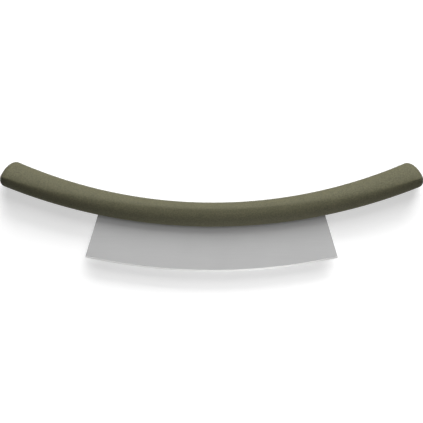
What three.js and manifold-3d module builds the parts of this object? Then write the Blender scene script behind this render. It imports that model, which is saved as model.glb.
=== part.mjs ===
// A mezzaluna: a rocking knife with a thin curved blade below one long bowed handle.
// Millimetres, +Z up. The knife lies on its side: X runs along the handle, Y runs from the
// cutting edge to the handle's tips, and Z stands square to the blade.
import * as THREE from "three";
import { mergeVertices } from "three/addons/utils/BufferGeometryUtils.js";
import Module from "manifold-3d";

const wasm = await Module();
wasm.setup();

// Handle: a bar with an egg-shaped section, three-cornered towards its tips, bent to an arc
const HANDLE_BEND_RADIUS = 418; // of the centreline
const HANDLE_LENGTH = 343; // along the centreline, tip to tip
const HANDLE_WIDTH_MIDDLE = 19.4; // in the blade's plane
const HANDLE_WIDTH_TIP = 22.4;
const HANDLE_THICKNESS_MIDDLE = 22; // square to the blade
const HANDLE_THICKNESS_TIP = 23;

// The ridge is the thickest line of the section. It lies towards the inside of the bend at the
// middle and crosses the centreline to the outside of the bend at the tips.
const RIDGE_OFFSET_MIDDLE = 3.6;
const RIDGE_OFFSET_TIP = -4.8;

// Fullness of the flanks on both sides of the ridge: 2 is an ellipse, 1 a nearly straight flank
const INNER_FULLNESS_MIDDLE = 2;
const INNER_FULLNESS_TIP = 1.45;
const OUTER_FULLNESS_MIDDLE = 2.1;
const OUTER_FULLNESS_TIP = 1.35;

// Rounding of the tips, as lengths along the handle
const TIP_ROUNDING_INNER = 9.2;
const TIP_ROUNDING_OUTER = 5.7;
const TIP_ROUNDING_FACES = 6;

// Soft skin and the stiff core under it
const SKIN_THICKNESS = 2;
const CORE_WALL = 3; // between the core's surface and its hollow bays
const TANG_COVER = 2.4; // core left between the tang's upper edge and the skin
const RIB_LENGTH = 11; // solid web round each fastener, along the handle
const SPLIT_GAP = 0.3; // between the two core halves
const FIT = 0.3; // clearance between pieces that seat in each other

// Blade
const BLADE_THICKNESS = 1.5;
const BLADE_CHORD = 202.3; // between the two lower corners
const BLADE_DROP = 45.7; // from the handle's centreline to the edge, at the middle
const EDGE_RADIUS = 458.4;
const BLADE_END_LEAN = THREE.MathUtils.degToRad(16.8); // the ends spread towards the edge
const BEVEL_WIDTH = 1.5;
const EDGE_THICKNESS = 0.3; // left at the foot of the bevels

// Fasteners
const RIVET_COUNT = 5;
const RIVET_END_MARGIN = 14; // from the tang's end to the last rivet
const RIVET_SHANK_RADIUS = 1.75;
const RIVET_HEAD_RADIUS = 3;
const RIVET_HEAD_HEIGHT = 1.2;
const SCREWS_PER_WING = 2;
const SCREW_SHANK_RADIUS = 1.5;
const SCREW_HEAD_RADIUS = 2.8;
const SCREW_HEAD_HEIGHT = 1.8;
const SCREW_REACH = 5; // into the front half, past the split
const SCREW_POINT = 1.5;
const RECESS_WIDTH = 0.8; // arms of the cross recess in a screw's head
const RECESS_LENGTH = 3.2;
const RECESS_DEPTH = 1;
const HEAD_COVER = 0.3; // from a head's top down to the core's surface round it
const HEAD_CROWN = 0.4; // bevel round a head's top
const PEG_RADIUS = 2;
const PEG_HEIGHT = 3;
const PEG_END_MARGIN = 9; // from the core's end to its locating peg

// Fineness of the round surfaces
const SKIN_SIDES = 28;
const CORE_SIDES = 16;
const BODY_STEPS = 28;
const TIP_STEPS = 6;
const BAY_STEPS = 4;
const ARC_STEPS = 28;
const ROUND_SIDES = 16;

const HANDLE_HALF = HANDLE_LENGTH / 2;
const CORE_INSET = SKIN_THICKNESS + FIT;
const CORE_HALF = HANDLE_HALF - CORE_INSET;
const TANG_RISE = HANDLE_WIDTH_MIDDLE / 2 - CORE_INSET - TANG_COVER;
const TANG_RADIUS = HANDLE_BEND_RADIUS - TANG_RISE;
const EDGE_CENTRE_Y = EDGE_RADIUS - BLADE_DROP;

// Arcs across the blade: its edge, the line just clear of the handle, and the top of its tang
const EDGE_ARC = { centreY: EDGE_CENTRE_Y, radius: EDGE_RADIUS };
const CLEAR_ARC = { centreY: HANDLE_BEND_RADIUS, radius: HANDLE_BEND_RADIUS + HANDLE_WIDTH_TIP / 2 };
const TANG_ARC = { centreY: HANDLE_BEND_RADIUS, radius: TANG_RADIUS };

const OUTSIDE = HANDLE_WIDTH_TIP + HANDLE_THICKNESS_TIP; // reaches clear of the handle's section
const RIGHT = 1;
const LEFT = -1;
const FRONT = 1;
const REAR = -1;

// A three.js geometry as a solid for joining and cutting
function solid(geometry) {
  const bare = geometry.clone();
  bare.deleteAttribute("normal");
  bare.deleteAttribute("uv");
  const merged = mergeVertices(bare);
  const corners = merged.index.array;
  const kept = [];
  for (let i = 0; i < corners.length; i += 3) {
    const [a, b, c] = corners.slice(i, i + 3);
    if (a !== b && b !== c && c !== a) {
      kept.push(a, b, c);
    }
  }
  const vertProperties = merged.getAttribute("position").array;
  return new wasm.Manifold(new wasm.Mesh({ numProp: 3, vertProperties, triVerts: new Uint32Array(kept) }));
}

// A finished solid as a three.js geometry
function geometryOf(body) {
  const { vertProperties, triVerts, numProp } = body.getMesh();
  const geometry = new THREE.BufferGeometry();
  geometry.setAttribute("position", new THREE.BufferAttribute(vertProperties, numProp));
  geometry.setIndex(new THREE.BufferAttribute(triVerts, 1));
  geometry.computeVertexNormals();
  return geometry;
}

// A closed surface through rings of equal length, capped by fans round a first and a last point
function loft(rings, first, last) {
  const sides = rings[0].length;
  const points = [...rings.flat(), first, last];
  const faces = [];
  for (let side = 0; side < sides; side += 1) {
    const next = (side + 1) % sides;
    for (let row = 0; row < (rings.length - 1) * sides; row += sides) {
      faces.push(row + side, row + next, row + sides + next);
      faces.push(row + side, row + sides + next, row + sides + side);
    }
    const lastRow = (rings.length - 1) * sides;
    faces.push(points.length - 2, next, side);
    faces.push(points.length - 1, lastRow + side, lastRow + next);
  }
  const geometry = new THREE.BufferGeometry().setFromPoints(points);
  geometry.setIndex(faces);
  return solid(geometry);
}

function middleOf(ring) {
  const sum = ring.reduce((total, point) => total.add(point), new THREE.Vector3());
  return sum.divideScalar(ring.length);
}

// A place on the bent bar: `along` the centreline, `offset` towards the inside of the bend
function onHandle(along, offset, height) {
  const angle = along / HANDLE_BEND_RADIUS;
  const radius = HANDLE_BEND_RADIUS - offset;
  return new THREE.Vector3(
    radius * Math.sin(angle),
    HANDLE_BEND_RADIUS - radius * Math.cos(angle),
    height,
  );
}

// Sizes of the handle's section at one place, for a surface `inset` below the skin's outside
function sectionAt(along, inset) {
  const share = (along / HANDLE_HALF) ** 2;
  const blend = (middle, tip) => THREE.MathUtils.lerp(middle, tip, share);
  const outerHalfWidth = blend(HANDLE_WIDTH_MIDDLE, HANDLE_WIDTH_TIP) / 2;
  const halfWidth = outerHalfWidth - inset;
  const ridge = (blend(RIDGE_OFFSET_MIDDLE, RIDGE_OFFSET_TIP) * halfWidth) / outerHalfWidth;
  return {
    ridge,
    inner: halfWidth - ridge,
    outer: halfWidth + ridge,
    half: blend(HANDLE_THICKNESS_MIDDLE, HANDLE_THICKNESS_TIP) / 2 - inset,
    innerFullness: blend(INNER_FULLNESS_MIDDLE, INNER_FULLNESS_TIP),
    outerFullness: blend(OUTER_FULLNESS_MIDDLE, OUTER_FULLNESS_TIP),
  };
}

// Height of that section above the blade's plane at one offset from the centreline
function heightAt(along, offset, inset) {
  const section = sectionAt(along, inset);
  const from = offset - section.ridge;
  const share = from > 0 ? from / section.inner : -from / section.outer;
  const fullness = from > 0 ? section.innerFullness : section.outerFullness;
  return section.half * Math.sqrt(1 - share ** fullness);
}

// How far a rounded end has opened at a distance from its tip: 0 at the tip, 1 past the rounding
function openingAt(distance, rounding) {
  const left = Math.max(0, 1 - distance / rounding);
  return Math.sqrt(1 - left ** 2);
}

// One ring of the section. `tipDistance` closes it towards a tip, Infinity leaves it open.
function sectionRing(along, inset, sides, tipDistance) {
  const section = sectionAt(along, inset);
  const inner = section.inner * openingAt(tipDistance, TIP_ROUNDING_INNER - inset);
  const outer = section.outer * openingAt(tipDistance, TIP_ROUNDING_OUTER - inset);
  const half = section.half * openingAt(tipDistance, TIP_ROUNDING_FACES - inset);
  const ring = [];
  for (let side = 0; side < sides; side += 1) {
    const turn = (2 * Math.PI * side) / sides;
    const across = Math.cos(turn);
    const reach = across > 0 ? inner : outer;
    const fullness = across > 0 ? section.innerFullness : section.outerFullness;
    const offset = section.ridge + Math.sign(across) * reach * Math.abs(across) ** (2 / fullness);
    ring.push(onHandle(along, offset, half * Math.sin(turn)));
  }
  return ring;
}

// The whole bar, `inset` below the skin's outside, with its rounded tips
function handleBar(inset, sides) {
  const half = HANDLE_HALF - inset;
  const rounding = TIP_ROUNDING_INNER - inset;
  const distances = [];
  for (let step = 1; step < TIP_STEPS; step += 1) {
    distances.push(rounding * (1 - Math.cos((Math.PI / 2) * (step / TIP_STEPS))));
  }
  const stations = distances.map((distance) => distance - half);
  for (let step = 0; step <= BODY_STEPS; step += 1) {
    stations.push((half - rounding) * ((2 * step) / BODY_STEPS - 1));
  }
  stations.push(...distances.reverse().map((distance) => half - distance));
  const rings = stations.map((along) => sectionRing(along, inset, sides, half - Math.abs(along)));
  const tip = (end) => onHandle(end, sectionAt(end, inset).ridge, 0);
  return loft(rings, tip(-half), tip(half));
}

// A hollow bay inside the core, between two places along the handle
function coreBay(from, to) {
  const rings = [];
  for (let step = 0; step <= BAY_STEPS; step += 1) {
    const along = THREE.MathUtils.lerp(from, to, step / BAY_STEPS);
    rings.push(sectionRing(along, CORE_INSET + CORE_WALL, CORE_SIDES, Infinity));
  }
  return loft(rings, middleOf(rings[0]), middleOf(rings[BAY_STEPS]));
}

// Where the blade's right end line, moved out by `grow`, first meets a circle round (0, centreY)
function endLineMeets(centreY, radius, grow) {
  const cornerX = BLADE_CHORD / 2;
  const cornerY = EDGE_CENTRE_Y - Math.sqrt(EDGE_RADIUS ** 2 - cornerX ** 2);
  const out = new THREE.Vector2(Math.cos(BLADE_END_LEAN), Math.sin(BLADE_END_LEAN));
  const up = new THREE.Vector2(-out.y, out.x);
  const start = new THREE.Vector2(cornerX, cornerY - centreY).addScaledVector(out, grow);
  const towards = start.dot(up);
  const run = -towards - Math.sqrt(towards ** 2 - start.lengthSq() + radius ** 2);
  return start.addScaledVector(up, run);
}

// Half the angle that the blade spans on a circle round (0, centreY)
function bladeHalfAngle(centreY, radius, grow) {
  const corner = endLineMeets(centreY, radius, grow);
  return Math.atan2(corner.x, -corner.y);
}

// The plate's outline between two arcs across it, grown by a clearance
function bladeOutline(lower, upper, grow) {
  const lowerRadius = lower.radius + grow;
  const upperRadius = upper.radius - grow;
  const lowerHalf = bladeHalfAngle(lower.centreY, lowerRadius, grow);
  const upperHalf = bladeHalfAngle(upper.centreY, upperRadius, grow);
  const down = -Math.PI / 2;
  const outline = new THREE.Shape();
  outline.absarc(0, lower.centreY, lowerRadius, down - lowerHalf, down + lowerHalf, false);
  outline.absarc(0, upper.centreY, upperRadius, down + upperHalf, down - upperHalf, true);
  outline.closePath();
  return outline;
}

function plate(outline, thickness) {
  const settings = { depth: thickness, bevelEnabled: false, curveSegments: ARC_STEPS };
  return solid(new THREE.ExtrudeGeometry(outline, settings).translate(0, 0, -thickness / 2));
}

// What the grinding of one bevel takes off along the edge
function bevelCut(side) {
  const face = BLADE_THICKNESS / 2;
  const fall = (face - EDGE_THICKNESS / 2) / BEVEL_WIDTH;
  const profile = [
    [EDGE_RADIUS - BEVEL_WIDTH, face],
    [EDGE_RADIUS - BEVEL_WIDTH, face + BLADE_THICKNESS],
    [EDGE_RADIUS + BEVEL_WIDTH, face + BLADE_THICKNESS],
    [EDGE_RADIUS + BEVEL_WIDTH, face - 2 * BEVEL_WIDTH * fall],
  ];
  if (side === REAR) {
    profile.reverse();
  }
  const span = bladeHalfAngle(EDGE_CENTRE_Y, EDGE_RADIUS, BLADE_THICKNESS);
  const rings = [];
  for (let step = 0; step <= ARC_STEPS; step += 1) {
    const angle = span * ((2 * step) / ARC_STEPS - 1);
    const place = ([radius, height]) =>
      new THREE.Vector3(radius * Math.sin(angle), EDGE_CENTRE_Y - radius * Math.cos(angle), side * height);
    rings.push(profile.map(place));
  }
  return loft(rings, middleOf(rings[0]), middleOf(rings[ARC_STEPS]));
}

// A round post along Z between two heights, standing on the centreline
function post(along, radius, from, to) {
  const cylinder = new THREE.CylinderGeometry(radius, radius, to - from, ROUND_SIDES);
  const foot = onHandle(along, 0, (from + to) / 2);
  return solid(cylinder.rotateX(Math.PI / 2).translate(foot.x, foot.y, foot.z));
}

// A turned piece along Z from its profile of [radius, height] points, standing on the centreline
function turned(along, profile) {
  const points = profile.map(([radius, height]) => new THREE.Vector2(radius, height));
  const foot = onHandle(along, 0, 0);
  const lathe = new THREE.LatheGeometry(points, ROUND_SIDES).rotateX(Math.PI / 2);
  return solid(lathe.translate(foot.x, foot.y, foot.z));
}

// Places along the handle of the rivets, the screws and the pegs
const TANG_HALF = HANDLE_BEND_RADIUS * bladeHalfAngle(HANDLE_BEND_RADIUS, TANG_RADIUS, FIT);
const RIVET_REACH = TANG_HALF - RIVET_END_MARGIN;
const RIVET_PLACES = [];
for (let rivet = 0; rivet < RIVET_COUNT; rivet += 1) {
  RIVET_PLACES.push(RIVET_REACH * ((2 * rivet) / (RIVET_COUNT - 1) - 1));
}
const SCREW_PLACES = [];
for (const wing of [LEFT, RIGHT]) {
  for (let screw = 1; screw <= SCREWS_PER_WING; screw += 1) {
    SCREW_PLACES.push(wing * THREE.MathUtils.lerp(TANG_HALF, CORE_HALF, screw / (SCREWS_PER_WING + 1)));
  }
}
const PEG_PLACES = [LEFT, RIGHT].map((wing) => wing * (CORE_HALF - PEG_END_MARGIN));

// Height of the seats under a row of like heads, low enough to sink every head in the core
function seatHeight(places, headRadius, headHeight) {
  const reach = headRadius + FIT;
  const heights = places.flatMap((along) =>
    [-reach, reach].map((offset) => heightAt(along, offset, CORE_INSET)),
  );
  return Math.min(...heights) - HEAD_COVER - headHeight - FIT;
}
const RIVET_SEAT = seatHeight(RIVET_PLACES, RIVET_HEAD_RADIUS, RIVET_HEAD_HEIGHT);
const SCREW_SEAT = seatHeight(SCREW_PLACES, SCREW_HEAD_RADIUS, SCREW_HEAD_HEIGHT);

// The steel plate: ground to the edge below, drilled for the rivets above. Its sides are parted just
// below the handle, so that the part in view is a face of its own.
function makeBlade() {
  let tang = plate(bladeOutline(CLEAR_ARC, TANG_ARC, 0), BLADE_THICKNESS);
  for (const along of RIVET_PLACES) {
    tang = tang.subtract(post(along, RIVET_SHANK_RADIUS + FIT, -BLADE_THICKNESS, BLADE_THICKNESS));
  }
  const shown = plate(bladeOutline(EDGE_ARC, CLEAR_ARC, 0), BLADE_THICKNESS);
  return shown.subtract(bevelCut(FRONT)).subtract(bevelCut(REAR)).add(tang);
}

// The room that the tang takes in the core and the skin
const TANG_ROOM = plate(bladeOutline(EDGE_ARC, TANG_ARC, FIT), BLADE_THICKNESS + 2 * FIT);

// One half of the core: hollow bays between the fasteners, a seat for the tang and the fasteners' holes
function makeCoreHalf(side) {
  const halfSpace = new THREE.BoxGeometry(HANDLE_LENGTH, HANDLE_LENGTH, OUTSIDE);
  halfSpace.translate(0, 0, (side * (OUTSIDE + SPLIT_GAP)) / 2);
  let core = handleBar(CORE_INSET, CORE_SIDES).intersect(solid(halfSpace)).subtract(TANG_ROOM);
  const places = [...RIVET_PLACES, ...SCREW_PLACES].sort((a, b) => a - b);
  for (let i = 1; i < places.length; i += 1) {
    core = core.subtract(coreBay(places[i - 1] + RIB_LENGTH / 2, places[i] - RIB_LENGTH / 2));
  }
  const between = (low, high) => [side * low, side * high].sort((a, b) => a - b);
  for (const along of RIVET_PLACES) {
    core = core.subtract(post(along, RIVET_SHANK_RADIUS + FIT, ...between(0, OUTSIDE)));
    core = core.subtract(post(along, RIVET_HEAD_RADIUS + FIT, ...between(RIVET_SEAT, OUTSIDE)));
  }
  const screwDepth = side === FRONT ? SCREW_REACH + FIT : OUTSIDE;
  for (const along of SCREW_PLACES) {
    core = core.subtract(post(along, SCREW_SHANK_RADIUS + FIT, ...between(0, screwDepth)));
    if (side === REAR) {
      core = core.subtract(post(along, SCREW_HEAD_RADIUS + FIT, -OUTSIDE, -SCREW_SEAT));
    }
  }
  for (const along of PEG_PLACES) {
    core =
      side === REAR
        ? core.add(post(along, PEG_RADIUS, -PEG_HEIGHT, PEG_HEIGHT))
        : core.subtract(post(along, PEG_RADIUS + FIT, 0, PEG_HEIGHT + FIT));
  }
  return core;
}

// A rivet set at both ends, clamping the tang between the core halves
function makeRivet(along) {
  const under = RIVET_SEAT + FIT;
  const top = under + RIVET_HEAD_HEIGHT;
  const upper = [
    [RIVET_SHANK_RADIUS, under],
    [RIVET_HEAD_RADIUS, under],
    [RIVET_HEAD_RADIUS, top - HEAD_CROWN],
    [RIVET_HEAD_RADIUS - HEAD_CROWN, top],
    [0, top],
  ];
  const lower = upper.map(([radius, height]) => [radius, -height]).reverse();
  return turned(along, [...lower, ...upper]);
}

// A screw driven from the rear, with a cross recess in its head
function makeScrew(along) {
  const under = -SCREW_SEAT - FIT;
  const top = under - SCREW_HEAD_HEIGHT;
  const body = turned(along, [
    [0, top],
    [SCREW_HEAD_RADIUS - HEAD_CROWN, top],
    [SCREW_HEAD_RADIUS, top + HEAD_CROWN],
    [SCREW_HEAD_RADIUS, under],
    [SCREW_SHANK_RADIUS, under],
    [SCREW_SHANK_RADIUS, SCREW_REACH - SCREW_POINT],
    [0, SCREW_REACH],
  ]);
  const foot = onHandle(along, 0, top);
  const arm = (lengthX, lengthY) =>
    solid(new THREE.BoxGeometry(lengthX, lengthY, 2 * RECESS_DEPTH).translate(foot.x, foot.y, foot.z));
  const recess = arm(RECESS_LENGTH, RECESS_WIDTH).add(arm(RECESS_WIDTH, RECESS_LENGTH));
  return body.subtract(recess);
}

// The soft skin, moulded round the core and open only at the blade's slot
function makeSkin() {
  const outside = handleBar(0, SKIN_SIDES);
  return outside.subtract(handleBar(SKIN_THICKNESS, CORE_SIDES)).subtract(TANG_ROOM);
}

const mezzaluna = new THREE.Group();

function addPiece(name, body, material) {
  const mesh = new THREE.Mesh(geometryOf(body), new THREE.MeshStandardMaterial(material));
  mesh.name = name;
  mezzaluna.add(mesh);
}

const STEEL = { color: 0xb9b9b7, roughness: 0.35, metalness: 1 };
const RIVET_ALUMINIUM = { color: 0xc4c5c6, roughness: 0.4, metalness: 1 };
const SCREW_STEEL = { color: 0x939496, roughness: 0.4, metalness: 1 };
const CORE_PLASTIC = { color: 0x2e2e2b, roughness: 0.6, metalness: 0 };
const OLIVE_RUBBER = { color: 0x706e5a, roughness: 0.75, metalness: 0 };

addPiece("blade", makeBlade(), STEEL);
addPiece("core_front", makeCoreHalf(FRONT), CORE_PLASTIC);
addPiece("core_rear", makeCoreHalf(REAR), CORE_PLASTIC);
RIVET_PLACES.forEach((along, i) => addPiece(`tang_rivet_${i + 1}`, makeRivet(along), RIVET_ALUMINIUM));
SCREW_PLACES.forEach((along, i) => addPiece(`core_screw_${i + 1}`, makeScrew(along), SCREW_STEEL));
addPiece("grip_skin", makeSkin(), OLIVE_RUBBER);

// The origin is the middle of the footprint, on the surface that the knife lies on
const box = new THREE.Box3().setFromObject(mezzaluna);
const middle = box.getCenter(new THREE.Vector3());
mezzaluna.position.set(-middle.x, -middle.y, -box.min.z);

export default mezzaluna;
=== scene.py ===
"""Dresses the packed mezzaluna: a fine grip skin, a ground blade, finished inner pieces and a stage."""

import math
from typing import NamedTuple

import bmesh
import bpy
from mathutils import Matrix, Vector


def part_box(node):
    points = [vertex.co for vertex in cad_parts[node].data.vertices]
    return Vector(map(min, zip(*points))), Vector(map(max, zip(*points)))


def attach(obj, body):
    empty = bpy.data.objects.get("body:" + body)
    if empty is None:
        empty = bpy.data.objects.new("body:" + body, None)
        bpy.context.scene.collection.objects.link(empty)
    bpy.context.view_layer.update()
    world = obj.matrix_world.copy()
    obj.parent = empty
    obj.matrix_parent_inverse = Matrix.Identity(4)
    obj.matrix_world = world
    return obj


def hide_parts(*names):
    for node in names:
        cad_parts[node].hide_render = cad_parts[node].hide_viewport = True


bl_info = {
    "name": "Mezzaluna dresser",
    "version": (1, 0, 0),
    "blender": (4, 5, 0),
    "location": "View3D > Sidebar > Mezzaluna",
    "description": "Models the grip and the blade of a mezzaluna on its packed frame, and lights it",
    "category": "Object",
}

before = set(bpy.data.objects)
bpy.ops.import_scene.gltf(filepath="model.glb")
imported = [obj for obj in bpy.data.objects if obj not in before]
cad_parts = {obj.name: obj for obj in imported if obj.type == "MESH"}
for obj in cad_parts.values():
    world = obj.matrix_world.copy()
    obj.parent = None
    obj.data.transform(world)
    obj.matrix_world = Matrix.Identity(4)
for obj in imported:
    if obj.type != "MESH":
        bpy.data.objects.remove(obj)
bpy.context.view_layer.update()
BLADE_LOW, BLADE_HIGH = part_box("blade")

BODY = "root"
MM = 0.001

# Places that the grip and the blade share, in the row's frame
BLADE_DROP = 45.7 * MM
CENTRELINE_Y = BLADE_LOW.y + BLADE_DROP
BLADE_PLANE_Z = (BLADE_LOW.z + BLADE_HIGH.z) / 2
MIDDLE = Vector((0.0, CENTRELINE_Y, BLADE_PLANE_Z))
UP = Vector((0.0, 0.0, 1.0))

# CAD nodes that keep their shape
RIVETS = [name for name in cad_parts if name.startswith("tang_rivet")]
SCREWS = [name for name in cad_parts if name.startswith("core_screw")]
CORES = [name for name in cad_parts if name.startswith("core_") and name not in SCREWS]

# Fineness of the modelled surfaces
GRIP_SIDES = 80
GRIP_STEPS = 136
TIP_STEPS = 22
LIP_SEGMENTS = 3
BLADE_STEPS = 128
ARRIS_SEGMENTS = 2
HOLE_SIDES = 32
CUT_THRESHOLD = 1e-6

# How far the cuts for the slot reach to each side of the blade, in blade thicknesses
SLOT_REACH = 2.0

# Angles between two faces: where a lip or an arris is rounded, and up to which shading is smooth
LIP_ANGLE = math.radians(55)
ARRIS_ANGLE = math.radians(75)
GRIP_SMOOTHING = math.radians(35)
BLADE_SMOOTHING = math.radians(15)

# The photo's frame, with the shift of its middle from the handle's in photo pixels
PHOTO_PIXELS = 423
FRAME_SHIFT = (-0.1, 3.1)
SENSOR_WIDTH = 36.0

# Each light's azimuth and elevation in degrees from the knife, then its distance, width and height in metres
LIGHTS = {
    "key": (82.0, 29.0, 1.1, 1.1, 0.5),
    "back": (76.0, 55.0, 1.1, 0.5, 0.4),
    "front": (-78.0, 10.0, 0.3, 0.18, 0.09),
    "strip": (-96.0, 46.0, 1.1, 1.0, 0.3),
}

# The floor, and how high in the white surround its fall to the ceiling's brightness starts and ends
FLOOR_SIZE = 40.0
FLOOR_ROUGHNESS = 0.9
SURROUND_FALL = (0.1, 0.3)

# Detail and roughness of the noises in the shared effects, and the stretch that draws one into lines
GRAIN_NOISE = (2.0, 0.55)
GRAIN_PATCH_NOISE = (4.0, 0.55)
LINE_NOISE = (3.0, 0.6)
LINE_PATCH_NOISE = (3.0, 0.5)
LINE_STRETCH = (0.012, 1.0, 1.0)

# Part of a noise's range that is spread over the whole range of a tone or a roughness
MASK_MIDDLE = (0.3, 0.7)


class Texture(NamedTuple):
    """How a finish uses its effect: scales per metre, range of roughness, strength and depth of the bump."""

    scales: dict
    roughness: tuple
    bump: float
    depth: float


RUBBER_TEXTURE = Texture(
    {"Grains per metre": 900.0, "Patches per metre": 110.0}, (0.68, 0.82), 0.35, 0.06 * MM
)
SATIN_TEXTURE = Texture(
    {"Lines per metre": 3500.0, "Patches per metre": 18.0}, (0.87, 0.93), 0.02, 0.02 * MM
)
PLASTIC_TEXTURE = Texture(
    {"Grains per metre": 1400.0, "Patches per metre": 80.0}, (0.5, 0.65), 0.2, 0.05 * MM
)
RIVET_TEXTURE = Texture(
    {"Lines per metre": 6000.0, "Patches per metre": 200.0}, (0.32, 0.45), 0.08, 0.02 * MM
)
SCREW_TEXTURE = RIVET_TEXTURE._replace(scales={"Lines per metre": 9000.0, "Patches per metre": 200.0})

# Specks and gloss of the rubber, and the ground bevel's roughness and the width of its border
RUBBER_SPECKS = (0.77, 1.23)
RUBBER_GLOSS = 0.25
GROUND_ROUGHNESS = 0.36
GROUND_BORDER = 0.1 * MM


def number(label, about, default, **options):
    """A plain number that a user may change."""
    options.setdefault("min", 0.0)
    options.setdefault("precision", 4)
    return bpy.props.FloatProperty(name=label, description=about, default=default, **options)


def metres(label, about, default):
    """A size in metres."""
    return number(label, about, default, precision=5, unit="LENGTH")


def shift(label, about, default):
    """A distance in metres that may be negative."""
    return number(label, about, default, min=-1.0, precision=5, unit="LENGTH")


def watts(label, about, default):
    """The power of a light."""
    return number(label, about, default, unit="POWER")


def degrees(label, about, default):
    """An angle, given in degrees."""
    return number(label, about, math.radians(default), min=-math.pi, subtype="ANGLE")


def colour(label, about, default):
    """A linear colour that a user may change."""
    return bpy.props.FloatVectorProperty(
        name=label, description=about, default=default, size=3, min=0.0, max=1.0, subtype="COLOR"
    )


class GripSizes(bpy.types.PropertyGroup):
    """Sizes of the bowed handle's soft skin."""

    bend_radius: metres("Bend radius", "Of the handle's centreline", 418 * MM)
    length: metres("Length", "Along the centreline, tip to tip", 343 * MM)
    width_middle: metres("Middle width", "In the blade's plane, at the middle", 19.4 * MM)
    width_tip: metres("Tip width", "In the blade's plane, at the tips", 22.4 * MM)
    thickness_middle: metres("Middle thickness", "Square to the blade, at the middle", 22 * MM)
    thickness_tip: metres("Tip thickness", "Square to the blade, at the tips", 23 * MM)
    ridge_middle: shift("Middle ridge", "Ridge from the centreline, at the middle", 3.6 * MM)
    ridge_tip: shift("Tip ridge", "Ridge from the centreline, at the tips", -4.8 * MM)
    inner_fullness_middle: number("Middle inner fullness", "Flank inside the bend, 2 is an ellipse", 2.0)
    inner_fullness_tip: number("Tip inner fullness", "Flank inside the bend, 1 is nearly straight", 1.45)
    outer_fullness_middle: number("Middle outer fullness", "Flank outside the bend", 2.1)
    outer_fullness_tip: number("Tip outer fullness", "Flank outside the bend", 1.35)
    tip_inner: metres("Inner tip rounding", "Along the handle, inside the bend", 9.2 * MM)
    tip_outer: metres("Outer tip rounding", "Along the handle, outside the bend", 5.7 * MM)
    tip_faces: metres("Face tip rounding", "Along the handle, on both faces", 6 * MM)
    wall: metres("Wall", "Thickness of the skin", 2 * MM)
    slot_clearance: metres("Slot clearance", "Between the skin and the blade", 0.12 * MM)
    lip: metres("Lip", "Rounding of the slot's lips", 0.25 * MM)


class BladeSizes(bpy.types.PropertyGroup):
    """Sizes of the steel plate and its ground edge."""

    thickness: metres("Thickness", "Of the plate", BLADE_HIGH.z - BLADE_LOW.z)
    chord: metres("Chord", "Between the two lower corners", BLADE_HIGH.x - BLADE_LOW.x)
    drop: metres("Drop", "From the handle's centreline to the edge", BLADE_DROP)
    edge_radius: metres("Edge radius", "Of the cutting edge's arc", 458.4 * MM)
    tang_rise: metres("Tang rise", "Top of the tang above the centreline", 4.9 * MM)
    end_lean: degrees("End lean", "How far the ends spread towards the edge", 16.8)
    bevel: metres("Ground bevel", "Width of the ground bevel along the edge", 1.5 * MM)
    edge: metres("Edge thickness", "Left at the foot of the ground bevels", 0.3 * MM)
    rounding: metres("Edge rounding", "Of the plate's square arrises", 0.07 * MM)
    hole_radius: metres("Hole radius", "Of the rivet holes in the tang", 2.05 * MM)


class FinishColours(bpy.types.PropertyGroup):
    """Linear colours of the finishes."""

    olive: colour("Olive rubber", "Soft-touch skin", (0.086, 0.0826, 0.048))
    olive_pale: colour("Pale olive rubber", "Paler patches of the skin", (0.095, 0.0912, 0.0537))
    steel: colour("Blade steel", "Satin sides of the blade", (0.567, 0.567, 0.567))
    steel_bright: colour("Bright blade steel", "Light lines of the brushing", (0.587, 0.587, 0.587))
    ground: colour("Ground steel", "Fresh metal of the ground edge", (0.82, 0.82, 0.81))
    core: colour("Core plastic", "Moulded core under the skin", (0.022, 0.022, 0.02))
    core_pale: colour("Pale core plastic", "Flow marks in the core", (0.034, 0.034, 0.031))
    rivet: colour("Rivet aluminium", "Set rivets", (0.52, 0.52, 0.53))
    rivet_bright: colour("Bright rivet aluminium", "Light lines on the rivets", (0.62, 0.62, 0.63))
    screw: colour("Screw steel", "Zinc-grey screws", (0.26, 0.26, 0.27))
    screw_bright: colour("Bright screw steel", "Light lines on the screws", (0.34, 0.34, 0.345))


class StageSettings(bpy.types.PropertyGroup):
    """Floor, light and camera."""

    floor: colour("Floor", "Paper floor, as it is seen", (0.66, 0.66, 0.66))
    floor_bounce: colour("Floor bounce", "Paper floor, as it lights the knife from below", (0.02, 0.02, 0.02))
    floor_lift: number("Floor lift", "White that the camera sees over the floor's own shade", 0.5)
    fade_start: metres("Fade start", "Distance where the floor starts to turn plain white", 0.2)
    fade_end: metres("Fade end", "Distance where the floor is plain white", 0.45)
    key_power: watts("Key power", "Wide soft light behind the handle", 20.2)
    back_power: watts("Back power", "Soft light high at the back", 4.0)
    front_power: watts("Front power", "Small light low in front", 0.45)
    strip_power: watts("Strip power", "Long soft light in front, for the ground edge", 1.1)
    fill: number("Fill", "Even light from all round", 0.01)
    ceiling: number("Ceiling", "Brightness that the surround falls to overhead", 0.12)
    pixel: metres("Pixel", "Width of a photo pixel at the blade's plane", 0.8 * MM)
    lens: number("Lens", "Focal length", 100.0, unit="CAMERA")
    roll: degrees("Roll", "Turn of the camera about its axis", 0.13)


# Helpers for modelling as by hand
def start_clean():
    """Leaves edit mode with nothing selected."""
    if bpy.context.object and bpy.context.object.mode != "OBJECT":
        bpy.ops.object.mode_set(mode="OBJECT")
    bpy.ops.object.select_all(action="DESELECT")


def pick(obj):
    """Makes one object the only selected and active one."""
    bpy.ops.object.select_all(action="DESELECT")
    obj.select_set(True)
    bpy.context.view_layer.objects.active = obj


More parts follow.
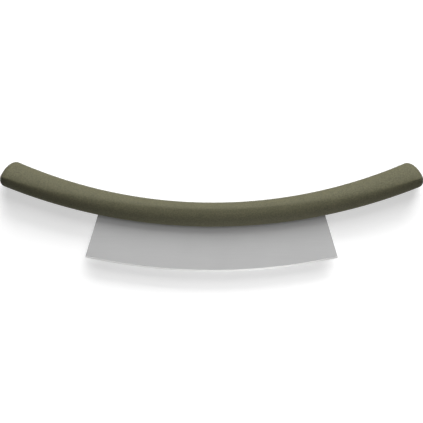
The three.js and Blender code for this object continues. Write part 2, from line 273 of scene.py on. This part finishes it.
def apply_modifier(obj, kind, **settings):
    """Adds a modifier with these settings and applies it."""
    pick(obj)
    modifier = obj.modifiers.new(kind.title(), kind)
    for name, value in settings.items():
        setattr(modifier, name, value)
    bpy.ops.object.modifier_apply(modifier=modifier.name)


def select_faces(obj, wanted):
    """Selects the faces whose middle is wanted, in edit mode."""
    bpy.ops.mesh.select_mode(type="FACE")
    bpy.ops.mesh.select_all(action="DESELECT")
    mesh = bmesh.from_edit_mesh(obj.data)
    for face in mesh.faces:
        face.select_set(wanted(face.calc_center_median()))
    bmesh.update_edit_mesh(obj.data)


def cut_selected(point, normal, **options):
    """Bisects the selected part of the mesh in edit mode."""
    bpy.ops.mesh.bisect(
        plane_co=point, plane_no=Vector(normal).normalized(), threshold=CUT_THRESHOLD, **options
    )


def cut_all(point, normal, **options):
    """Bisects the whole mesh in edit mode."""
    bpy.ops.mesh.select_all(action="SELECT")
    cut_selected(point, normal, **options)


def merge_doubles():
    """Merges the points that lie on one another, in edit mode, and leaves all of the mesh selected."""
    bpy.ops.mesh.select_all(action="SELECT")
    bpy.ops.mesh.remove_doubles(threshold=CUT_THRESHOLD)


def finish_piece(obj, name, node, material):
    """Names a modelled piece, puts it on the frame and gives it its finish."""
    obj.name = name
    obj.data.name = name
    obj.data.materials.clear()
    obj.data.materials.append(material)
    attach(obj, BODY)
    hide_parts(node)


# The blade's plan, which its slot in the skin shares
def edge_centre(sizes):
    """Centre of the cutting edge's arc."""
    return Vector((0.0, CENTRELINE_Y - sizes.drop + sizes.edge_radius, BLADE_PLANE_Z))


def end_planes(sizes, grow):
    """A point and an outward normal for each slanted end of the blade, moved out by a clearance."""
    half = sizes.chord / 2
    corner_y = edge_centre(sizes).y - math.sqrt(sizes.edge_radius**2 - half**2)
    planes = []
    for side in (-1, 1):
        normal = Vector((side * math.cos(sizes.end_lean), math.sin(sizes.end_lean), 0.0))
        planes.append((Vector((side * half, corner_y, BLADE_PLANE_Z)) + normal * grow, normal))
    return planes


# The grip's section
def opening(distance, rounding):
    """How far a rounded tip has opened at a distance from its end, from 0 to 1."""
    left = max(0.0, 1.0 - distance / rounding)
    return math.sqrt(1.0 - left**2)


def on_handle(sizes, along, offset, height):
    """A place on the bent handle, with the offset towards the inside of the bend."""
    angle = along / sizes.bend_radius
    radius = sizes.bend_radius - offset
    return Vector((
        radius * math.sin(angle),
        CENTRELINE_Y + sizes.bend_radius - radius * math.cos(angle),
        BLADE_PLANE_Z + height,
    ))


def section_ring(sizes, along):
    """The points of one ring of the grip, closed towards a tip where it is near."""
    part = (2 * along / sizes.length) ** 2
    distance = sizes.length / 2 - abs(along)

    def blend(middle, tip):
        return middle + (tip - middle) * part

    half_width = blend(sizes.width_middle, sizes.width_tip) / 2
    ridge = blend(sizes.ridge_middle, sizes.ridge_tip)
    inner = (half_width - ridge) * opening(distance, sizes.tip_inner)
    outer = (half_width + ridge) * opening(distance, sizes.tip_outer)
    half = blend(sizes.thickness_middle, sizes.thickness_tip) / 2 * opening(distance, sizes.tip_faces)
    inner_fullness = blend(sizes.inner_fullness_middle, sizes.inner_fullness_tip)
    outer_fullness = blend(sizes.outer_fullness_middle, sizes.outer_fullness_tip)
    ring = []
    for side in range(GRIP_SIDES):
        turn = 2 * math.pi * (side + 0.5) / GRIP_SIDES
        across = math.cos(turn)
        if across > 0:
            offset = ridge + inner * across ** (2 / inner_fullness)
        else:
            offset = ridge - outer * (-across) ** (2 / outer_fullness)
        ring.append(on_handle(sizes, along, offset, half * math.sin(turn)))
    return ring


def ring_places(sizes):
    """Places of the rings along the handle, close together in the rounded tips."""
    half = sizes.length / 2
    body = half - sizes.tip_inner
    closing = []
    for step in range(1, TIP_STEPS):
        closing.append(sizes.tip_inner * (1 - math.cos(math.pi / 2 * step / TIP_STEPS)))
    places = [distance - half for distance in closing]
    places += [body * (2 * step / GRIP_STEPS - 1) for step in range(GRIP_STEPS + 1)]
    places += [half - distance for distance in reversed(closing)]
    return places


def move_selected_ring(obj, points):
    """Moves the selected ring of vertices to its section, side by side."""
    mesh = bmesh.from_edit_mesh(obj.data)
    side = mesh.verts.layers.int["side"]
    for vertex in mesh.verts:
        if vertex.select:
            vertex.co = points[vertex[side]]
    bmesh.update_edit_mesh(obj.data)


def close_tip(obj, point):
    """Extrudes the selected ring and draws it to one point."""
    bpy.ops.mesh.extrude_region_move()
    bpy.ops.mesh.merge(type="CENTER")
    mesh = bmesh.from_edit_mesh(obj.data)
    for vertex in mesh.verts:
        if vertex.select:
            vertex.co = point
    bmesh.update_edit_mesh(obj.data)


def select_open_ring(obj):
    """Selects the boundary ring that is still open."""
    bpy.ops.mesh.select_all(action="DESELECT")
    mesh = bmesh.from_edit_mesh(obj.data)
    for edge in mesh.edges:
        if edge.is_boundary:
            edge.select_set(True)
    mesh.select_flush_mode()
    bmesh.update_edit_mesh(obj.data)


def loft_grip(sizes):
    """The closed outside of the grip, extruded ring by ring from a circle."""
    bpy.ops.mesh.primitive_circle_add(
        vertices=GRIP_SIDES, radius=sizes.width_tip / 2, enter_editmode=True, location=(0, 0, 0)
    )
    grip = bpy.context.object
    mesh = bmesh.from_edit_mesh(grip.data)
    side = mesh.verts.layers.int.new("side")
    for place, vertex in enumerate(mesh.verts):
        vertex[side] = place
    bmesh.update_edit_mesh(grip.data)
    places = ring_places(sizes)
    move_selected_ring(grip, section_ring(sizes, places[0]))
    for along in places[1:]:
        bpy.ops.mesh.extrude_region_move()
        move_selected_ring(grip, section_ring(sizes, along))
    half = sizes.length / 2
    close_tip(grip, on_handle(sizes, half, sizes.ridge_tip, 0.0))
    select_open_ring(grip)
    close_tip(grip, on_handle(sizes, -half, sizes.ridge_tip, 0.0))
    bpy.ops.mesh.select_all(action="SELECT")
    bpy.ops.mesh.normals_make_consistent(inside=False)
    return grip


# The slot that the blade comes out of
def below_bend(sizes, place):
    """Whether a place lies outside the bend of the handle's centreline."""
    bend_centre = Vector((0.0, CENTRELINE_Y + sizes.bend_radius, BLADE_PLANE_Z))
    return (place - bend_centre).length > sizes.bend_radius


def near_slot(sizes, blade_sizes, place):
    """Whether a place lies by the slot, on the side of the handle that the blade comes out of."""
    level = abs(place.z - BLADE_PLANE_Z) < SLOT_REACH * blade_sizes.thickness
    return level and abs(place.x) < blade_sizes.chord / 2 and below_bend(sizes, place)


def open_slot(grip, sizes, blade_sizes):
    """Cuts the grip's faces along the slot's outline and deletes those over the blade."""
    half_gap = blade_sizes.thickness / 2 + sizes.slot_clearance
    sides = ((MIDDLE + UP * half_gap, UP), (MIDDLE - UP * half_gap, UP))
    ends = end_planes(blade_sizes, sizes.slot_clearance)

    def in_slot(place):
        between = all((place - point).dot(normal) < 0 for point, normal in ends)
        return abs(place.z - BLADE_PLANE_Z) < half_gap and below_bend(sizes, place) and between

    for point, normal in (*sides, *ends):
        select_faces(grip, lambda place: near_slot(sizes, blade_sizes, place))
        cut_selected(point, normal)
    select_faces(grip, in_slot)
    bpy.ops.mesh.delete(type="FACE")


def round_lips(grip, sizes, blade_sizes):
    """Rounds the sharp edges of the slot's lips."""
    pick(grip)
    bpy.ops.object.mode_set(mode="EDIT")
    bpy.ops.mesh.select_mode(type="EDGE")
    bpy.ops.mesh.select_all(action="DESELECT")
    bpy.ops.mesh.edges_select_sharp(sharpness=LIP_ANGLE)
    mesh = bmesh.from_edit_mesh(grip.data)
    for edge in mesh.edges:
        if edge.select:
            edge.select_set(all(near_slot(sizes, blade_sizes, vertex.co) for vertex in edge.verts))
    bmesh.update_edit_mesh(grip.data)
    bpy.ops.mesh.bevel(offset=sizes.lip, segments=LIP_SEGMENTS, affect="EDGES", clamp_overlap=True)
    bpy.ops.object.mode_set(mode="OBJECT")


# Helpers for shader nodes
def number_step(tree, operation, first, second):
    """What an operation on two values gives."""
    step = tree.nodes.new("ShaderNodeMath")
    step.operation = operation
    tree.links.new(first, step.inputs[0])
    tree.links.new(second, step.inputs[1])
    return step.outputs["Value"]


def vector_step(tree, operation, vector, second=(0.0, 0.0, 0.0)):
    """The outputs of an operation on a vector."""
    step = tree.nodes.new("ShaderNodeVectorMath")
    step.operation = operation
    step.inputs[1].default_value = second
    tree.links.new(vector, step.inputs[0])
    return step.outputs


def ramp(tree, value, source, target):
    """A value that goes over the target range as another goes over the source range."""
    span = tree.nodes.new("ShaderNodeMapRange")
    span.inputs["From Min"].default_value, span.inputs["From Max"].default_value = source
    span.inputs["To Min"].default_value, span.inputs["To Max"].default_value = target
    tree.links.new(value, span.inputs["Value"])
    return span.outputs["Result"]


def over_middle(tree, mask, target=(0.0, 1.0)):
    """A value that goes over the target range in the middle of a mask's range."""
    return ramp(tree, mask, MASK_MIDDLE, target)


def mix(tree, factor, first, second, data_type="RGBA", blend_type="MIX"):
    """A mix of two colours or values, each the output of a node or a plain value."""
    node = tree.nodes.new("ShaderNodeMix")
    node.data_type = data_type
    node.blend_type = blend_type
    for name, given in (("Factor", factor), ("A", first), ("B", second)):
        if isinstance(given, bpy.types.NodeSocket):
            tree.links.new(given, node.inputs[name])
        else:
            node.inputs[name].default_value = given
    return node.outputs["Result"]


def tone_between(tree, mask, dark, pale):
    """A colour that goes from dark to pale with a mask."""
    return mix(tree, mask, (*dark, 1.0), (*pale, 1.0))


# Shared effects, as shader node groups
def new_group(name, inputs, outputs):
    """A shader node group with float inputs and outputs besides its Vector input."""
    group = bpy.data.node_groups.new(name, "ShaderNodeTree")
    group.interface.new_socket("Vector", in_out="INPUT", socket_type="NodeSocketVector")
    for socket in inputs:
        group.interface.new_socket(socket, in_out="INPUT", socket_type="NodeSocketFloat")
    for socket in outputs:
        group.interface.new_socket(socket, in_out="OUTPUT", socket_type="NodeSocketFloat")
    return group, group.nodes.new("NodeGroupInput").outputs, group.nodes.new("NodeGroupOutput").inputs


def add_noise(group, vector, scale, settings, result):
    """Feeds a noise with these settings of detail and roughness to one of the group's outputs."""
    noise = group.nodes.new("ShaderNodeTexNoise")
    noise.inputs["Detail"].default_value, noise.inputs["Roughness"].default_value = settings
    group.links.new(vector, noise.inputs["Vector"])
    group.links.new(scale, noise.inputs["Scale"])
    group.links.new(noise.outputs["Fac"], result)


def moulded_grain_group():
    """Fine moulded grain over broad, faint patches."""
    group, given, made = new_group(
        "Moulded grain", ("Grains per metre", "Patches per metre"), ("Grain", "Patches")
    )
    add_noise(group, given["Vector"], given["Grains per metre"], GRAIN_NOISE, made["Grain"])
    add_noise(group, given["Vector"], given["Patches per metre"], GRAIN_PATCH_NOISE, made["Patches"])
    return group


def brushed_lines_group():
    """Fine lines drawn along X, over broad, faint patches."""
    group, given, made = new_group(
        "Brushed lines", ("Lines per metre", "Patches per metre"), ("Lines", "Patches")
    )
    drawn = vector_step(group, "MULTIPLY", given["Vector"], LINE_STRETCH)["Vector"]
    add_noise(group, drawn, given["Lines per metre"], LINE_NOISE, made["Lines"])
    add_noise(group, given["Vector"], given["Patches per metre"], LINE_PATCH_NOISE, made["Patches"])
    return group


def shared_group(maker, name):
    """A node group, built once."""
    return bpy.data.node_groups.get(name) or maker()


# Finishes
class Finish:
    """A material in the making: its nodes, its shader, and what its effect group puts out."""

    def __init__(self, name, group, texture, height):
        self.material = bpy.data.materials.new(name)
        self.material.use_nodes = True
        self.tree = self.material.node_tree
        self.shader = self.tree.nodes["Principled BSDF"].inputs
        self.place = self.tree.nodes.new("ShaderNodeTexCoord").outputs["Object"]
        effect = self.tree.nodes.new("ShaderNodeGroup")
        effect.node_tree = group
        for socket, value in texture.scales.items():
            effect.inputs[socket].default_value = value
        self.tree.links.new(self.place, effect.inputs["Vector"])
        self.effect = effect.outputs
        self.add_bump(self.effect[height], texture)

    def add_bump(self, height, texture):
        """Feeds a height through a bump to the shader's normal."""
        bump = self.tree.nodes.new("ShaderNodeBump")
        bump.inputs["Strength"].default_value = texture.bump
        bump.inputs["Distance"].default_value = texture.depth
        self.tree.links.new(height, bump.inputs["Height"])
        self.tree.links.new(bump.outputs["Normal"], self.shader["Normal"])

    def close(self, tone, roughness):
        """Feeds the shader its colour and roughness, and gives the finished material."""
        self.tree.links.new(tone, self.shader["Base Color"])
        self.tree.links.new(roughness, self.shader["Roughness"])
        return self.material


def moulded_finish(name, texture, dark, pale):
    """A moulded material in the making, with its patchy tone and its roughness."""
    finish = Finish(name, shared_group(moulded_grain_group, "Moulded grain"), texture, "Grain")
    tone = tone_between(finish.tree, over_middle(finish.tree, finish.effect["Patches"]), dark, pale)
    roughness = over_middle(finish.tree, finish.effect["Grain"], texture.roughness)
    return finish, tone, roughness


def brushed_finish(name, texture, dark, pale):
    """A brushed metal in the making, with its lined tone and its roughness."""
    finish = Finish(name, shared_group(brushed_lines_group, "Brushed lines"), texture, "Lines")
    finish.shader["Metallic"].default_value = 1.0
    tone = tone_between(finish.tree, over_middle(finish.tree, finish.effect["Lines"]), dark, pale)
    roughness = over_middle(finish.tree, finish.effect["Patches"], texture.roughness)
    return finish, tone, roughness


def olive_rubber(finishes):
    """Soft-touch olive rubber with a fine, speckled grain."""
    finish, tone, roughness = moulded_finish(
        "olive_rubber", RUBBER_TEXTURE, finishes.olive, finishes.olive_pale
    )
    finish.shader["Specular IOR Level"].default_value = RUBBER_GLOSS
    specks = over_middle(finish.tree, finish.effect["Grain"], RUBBER_SPECKS)
    return finish.close(mix(finish.tree, 1.0, tone, specks, blend_type="MULTIPLY"), roughness)


def satin_steel(finishes, sizes):
    """Satin steel brushed along the blade, with a brighter ground bevel at the edge."""
    finish, tone, roughness = brushed_finish(
        "satin_steel", SATIN_TEXTURE, finishes.steel, finishes.steel_bright
    )
    from_centre = vector_step(finish.tree, "SUBTRACT", finish.place, edge_centre(sizes))["Vector"]
    level = vector_step(finish.tree, "MULTIPLY", from_centre, (1.0, 1.0, 0.0))["Vector"]
    radius = vector_step(finish.tree, "LENGTH", level)["Value"]
    border = sizes.edge_radius - sizes.bevel
    spread = (border - GROUND_BORDER / 2, border + GROUND_BORDER / 2)
    ground = ramp(finish.tree, radius, spread, (0.0, 1.0))
    return finish.close(
        mix(finish.tree, ground, tone, (*finishes.ground, 1.0)),
        mix(finish.tree, ground, roughness, GROUND_ROUGHNESS, data_type="FLOAT"),
    )


def plain_finish(maker, name, texture, dark, pale):
    """A moulded or brushed finish with nothing added."""
    finish, tone, roughness = maker(name, texture, dark, pale)
    return finish.close(tone, roughness)


class MEZZALUNA_OT_grip(bpy.types.Operator):
    """Model the soft olive skin of the handle, with its slot for the blade"""

    bl_idname = "mezzaluna.grip"
    bl_label = "Grip skin"

    def execute(self, context):
        scene = context.scene
        sizes = scene.mezzaluna_grip
        start_clean()
        grip = loft_grip(sizes)
        open_slot(grip, sizes, scene.mezzaluna_blade)
        bpy.ops.object.mode_set(mode="OBJECT")
        grip.data.attributes.remove(grip.data.attributes["side"])
        apply_modifier(
            grip,
            "SOLIDIFY",
            thickness=sizes.wall,
            offset=-1.0,
            use_even_offset=True,
            use_quality_normals=True,
        )
        round_lips(grip, sizes, scene.mezzaluna_blade)
        bpy.ops.object.shade_smooth_by_angle(angle=GRIP_SMOOTHING)
        rubber = olive_rubber(scene.mezzaluna_finish)
        finish_piece(grip, "grip_rubber_skin", "grip_skin", rubber)
        return {"FINISHED"}


class MEZZALUNA_OT_blade(bpy.types.Operator):
    """Model the steel blade: its section is spun along the edge's arc and its ends are cut off at a slant"""

    bl_idname = "mezzaluna.blade"
    bl_label = "Blade"

    def execute(self, context):
        scene = context.scene
        sizes = scene.mezzaluna_blade
        start_clean()
        blade = self.spin_plate(sizes)
        apply_modifier(
            blade,
            "BEVEL",
            width=sizes.rounding,
            segments=ARRIS_SEGMENTS,
            limit_method="ANGLE",
            angle_limit=ARRIS_ANGLE,
        )
        self.drill(blade, sizes)
        pick(blade)
        bpy.ops.object.mode_set(mode="EDIT")
        merge_doubles()
        bpy.ops.object.mode_set(mode="OBJECT")
        bpy.ops.object.shade_smooth_by_angle(angle=BLADE_SMOOTHING)
        steel = satin_steel(scene.mezzaluna_finish, sizes)
        finish_piece(blade, "blade_plate", "blade", steel)
        return {"FINISHED"}

    def spin_plate(self, sizes):
        """The plate with its ground edge, closed at both slanted ends."""
        centre = edge_centre(sizes)
        rise = sizes.drop + sizes.tang_rise
        bpy.ops.mesh.primitive_plane_add(size=1, enter_editmode=True, location=(0, 0, 0))
        blade = bpy.context.object
        bpy.ops.transform.rotate(value=math.pi / 2, orient_axis="Y", center_override=(0, 0, 0))
        bpy.ops.transform.resize(value=(1, rise, sizes.thickness), center_override=(0, 0, 0))
        bpy.ops.transform.translate(value=(0, CENTRELINE_Y + sizes.tang_rise - rise / 2, BLADE_PLANE_Z))
        fall = (sizes.thickness - sizes.edge) / 2
        shoulder_y = CENTRELINE_Y - sizes.drop + sizes.bevel
        for side in (-1, 1):
            shoulder = (0, shoulder_y, BLADE_PLANE_Z + side * sizes.thickness / 2)
            cut_all(shoulder, (0, -fall, side * sizes.bevel), clear_outer=True)
        bpy.ops.mesh.select_all(action="SELECT")
        bpy.ops.mesh.delete(type="ONLY_FACE")
        half_angle = math.asin((sizes.chord / 2 + sizes.thickness) / sizes.edge_radius)
        bpy.ops.mesh.select_all(action="SELECT")
        bpy.ops.transform.rotate(value=-half_angle, orient_axis="Z", center_override=centre)
        bpy.ops.mesh.spin(steps=BLADE_STEPS, angle=2 * half_angle, center=centre, axis=UP)
        for point, normal in end_planes(sizes, 0.0):
            cut_all(point, normal, clear_outer=True, use_fill=True)
        merge_doubles()
        bpy.ops.mesh.normals_make_consistent(inside=False)
        bpy.ops.object.mode_set(mode="OBJECT")
        return blade

    def drill(self, blade, sizes):
        """Drills the tang where the rivets pass."""
        start_clean()
        drills = []
        for name in RIVETS:
            low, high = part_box(name)
            bpy.ops.mesh.primitive_cylinder_add(
                vertices=HOLE_SIDES,
                radius=sizes.hole_radius,
                depth=high.z - low.z,
                location=(low + high) / 2,
            )
            drills.append(bpy.context.object)
        for drill in drills:
            drill.select_set(True)
        bpy.ops.object.join()
        cutter = bpy.context.object
        apply_modifier(blade, "BOOLEAN", object=cutter, operation="DIFFERENCE", solver="EXACT")
        pick(cutter)
        bpy.ops.object.delete()


class MEZZALUNA_OT_inner_pieces(bpy.types.Operator):
    """Give the core halves, the rivets and the screws their finishes"""

    bl_idname = "mezzaluna.inner_pieces"
    bl_label = "Inner pieces"

    def execute(self, context):
        tones = context.scene.mezzaluna_finish
        plastic = plain_finish(
            moulded_finish, "moulded_plastic", PLASTIC_TEXTURE, tones.core, tones.core_pale
        )
        aluminium = plain_finish(
            brushed_finish, "set_aluminium", RIVET_TEXTURE, tones.rivet, tones.rivet_bright
        )
        zinc = plain_finish(brushed_finish, "zinc_steel", SCREW_TEXTURE, tones.screw, tones.screw_bright)
        for names, material in ((CORES, plastic), (RIVETS, aluminium), (SCREWS, zinc)):
            for name in names:
                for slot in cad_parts[name].material_slots:
                    slot.material = material
        return {"FINISHED"}


class MEZZALUNA_OT_stage(bpy.types.Operator):
    """Lay the knife on a pale floor under soft light, seen from straight above"""

    bl_idname = "mezzaluna.stage"
    bl_label = "Stage"

    def execute(self, context):
        scene = context.scene
        settings = scene.mezzaluna_stage
        start_clean()
        self.lay_floor(settings)
        self.set_world(scene, settings)
        for name, place in LIGHTS.items():
            self.hang_light(name, place, getattr(settings, f"{name}_power"))
        self.set_camera(scene, settings)
        scene.view_settings.view_transform = "Standard"
        return {"FINISHED"}

    def white_rays(self, tree):
        """A mask of the rays that show the background: camera, glossy and transmission rays."""
        rays = tree.nodes.new("ShaderNodeLightPath").outputs
        seen = number_step(tree, "MAXIMUM", rays["Is Camera Ray"], rays["Is Glossy Ray"])
        return number_step(tree, "MAXIMUM", seen, rays["Is Transmission Ray"])

    def lay_floor(self, settings):
        """A wide paper floor that shows white, keeps the shadow and fades to plain white far away."""
        bpy.ops.mesh.primitive_plane_add(size=FLOOR_SIZE, location=(0, 0, 0))
        floor = bpy.context.object
        floor.name = "floor"
        material = bpy.data.materials.new("floor_paper")
        material.use_nodes = True
        tree = material.node_tree
        shader = tree.nodes["Principled BSDF"]
        shown_rays = self.white_rays(tree)
        paper = tone_between(tree, shown_rays, settings.floor_bounce, settings.floor)
        tree.links.new(paper, shader.inputs["Base Color"])
        shader.inputs["Roughness"].default_value = FLOOR_ROUGHNESS
        shader.inputs["Specular IOR Level"].default_value = 0.0
        place = tree.nodes.new("ShaderNodeTexCoord").outputs["Object"]
        away = vector_step(tree, "LENGTH", place)["Value"]
        fade = (settings.fade_start, settings.fade_end)
        lift = ramp(tree, away, fade, (settings.floor_lift, 1.0))
        white = tree.nodes.new("ShaderNodeEmission")
        tree.links.new(number_step(tree, "MULTIPLY", shown_rays, lift), white.inputs["Strength"])
        shown = tree.nodes.new("ShaderNodeAddShader")
        tree.links.new(shader.outputs["BSDF"], shown.inputs[0])
        tree.links.new(white.outputs["Emission"], shown.inputs[1])
        tree.links.new(shown.outputs["Shader"], tree.nodes["Material Output"].inputs["Surface"])
        floor.data.materials.append(material)

    def set_world(self, scene, settings):
        """A white surround that lights the knife only a little."""
        world = bpy.data.worlds.new("studio")
        world.use_nodes = True
        tree = world.node_tree
        dim = tree.nodes["Background"]
        white = tree.nodes.new("ShaderNodeBackground")
        for background in (dim, white):
            background.inputs["Color"].default_value = (1.0, 1.0, 1.0, 1.0)
        dim.inputs["Strength"].default_value = settings.fill
        direction = tree.nodes.new("ShaderNodeTexCoord").outputs["Generated"]
        parts = tree.nodes.new("ShaderNodeSeparateXYZ")
        tree.links.new(direction, parts.inputs["Vector"])
        falling = ramp(tree, parts.outputs["Z"], SURROUND_FALL, (1.0, settings.ceiling))
        tree.links.new(falling, white.inputs["Strength"])
        shown = tree.nodes.new("ShaderNodeMixShader")
        tree.links.new(self.white_rays(tree), shown.inputs["Fac"])
        tree.links.new(dim.outputs["Background"], shown.inputs[1])
        tree.links.new(white.outputs["Background"], shown.inputs[2])
        tree.links.new(shown.outputs["Shader"], tree.nodes["World Output"].inputs["Surface"])
        scene.world = world

    def hang_light(self, name, place, power):
        """A soft rectangular light that faces the knife."""
        azimuth, elevation, distance, width, height = place
        around = math.radians(azimuth)
        above = math.radians(elevation)
        outward = Vector((
            math.cos(above) * math.cos(around),
            math.cos(above) * math.sin(around),
            math.sin(above),
        ))
        bpy.ops.object.light_add(
            type="AREA",
            location=MIDDLE + outward * distance,
            rotation=outward.to_track_quat("Z", "Y").to_euler(),
        )
        light = bpy.context.object
        light.name = f"{name}_light"
        light.data.shape = "RECTANGLE"
        light.data.size = width
        light.data.size_y = height
        light.data.energy = power
        light.visible_camera = False

    def set_camera(self, scene, settings):
        """A long lens straight above, framed as the photo is."""
        right, up = (pixels * settings.pixel for pixels in FRAME_SHIFT)
        distance = PHOTO_PIXELS * settings.pixel * settings.lens / SENSOR_WIDTH
        place = MIDDLE + Vector((right, up, distance))
        bpy.ops.object.camera_add(location=place, rotation=(0, 0, settings.roll))
        camera = bpy.context.object
        camera.data.sensor_width = SENSOR_WIDTH
        camera.data.lens = settings.lens
        scene.camera = camera


class MEZZALUNA_PT_sidebar(bpy.types.Panel):
    """Sizes, colours and steps of the mezzaluna"""

    bl_idname = "MEZZALUNA_PT_sidebar"
    bl_label = "Mezzaluna"
    bl_space_type = "VIEW_3D"
    bl_region_type = "UI"
    bl_category = "Mezzaluna"

    def draw(self, context):
        for operator in OPERATORS:
            self.layout.operator(operator.bl_idname)
        for name, group in SETTINGS.items():
            box = self.layout.box()
            box.label(text=group.__doc__)
            settings = getattr(context.scene, name)
            for prop in group.__annotations__:
                box.prop(settings, prop)


OPERATORS = (
    MEZZALUNA_OT_grip,
    MEZZALUNA_OT_blade,
    MEZZALUNA_OT_inner_pieces,
    MEZZALUNA_OT_stage,
)
SETTINGS = {
    "mezzaluna_grip": GripSizes,
    "mezzaluna_blade": BladeSizes,
    "mezzaluna_finish": FinishColours,
    "mezzaluna_stage": StageSettings,
}
CLASSES = (*SETTINGS.values(), *OPERATORS, MEZZALUNA_PT_sidebar)


def register():
    for cls in CLASSES:
        bpy.utils.register_class(cls)
    for name, group in SETTINGS.items():
        setattr(bpy.types.Scene, name, bpy.props.PointerProperty(type=group))


def unregister():
    for name in SETTINGS:
        delattr(bpy.types.Scene, name)
    for cls in reversed(CLASSES):
        bpy.utils.unregister_class(cls)


def main():
    register()
    bpy.ops.mezzaluna.grip()
    bpy.ops.mezzaluna.blade()
    bpy.ops.mezzaluna.inner_pieces()
    bpy.ops.mezzaluna.stage()


if __name__ == "__main__":
    main()
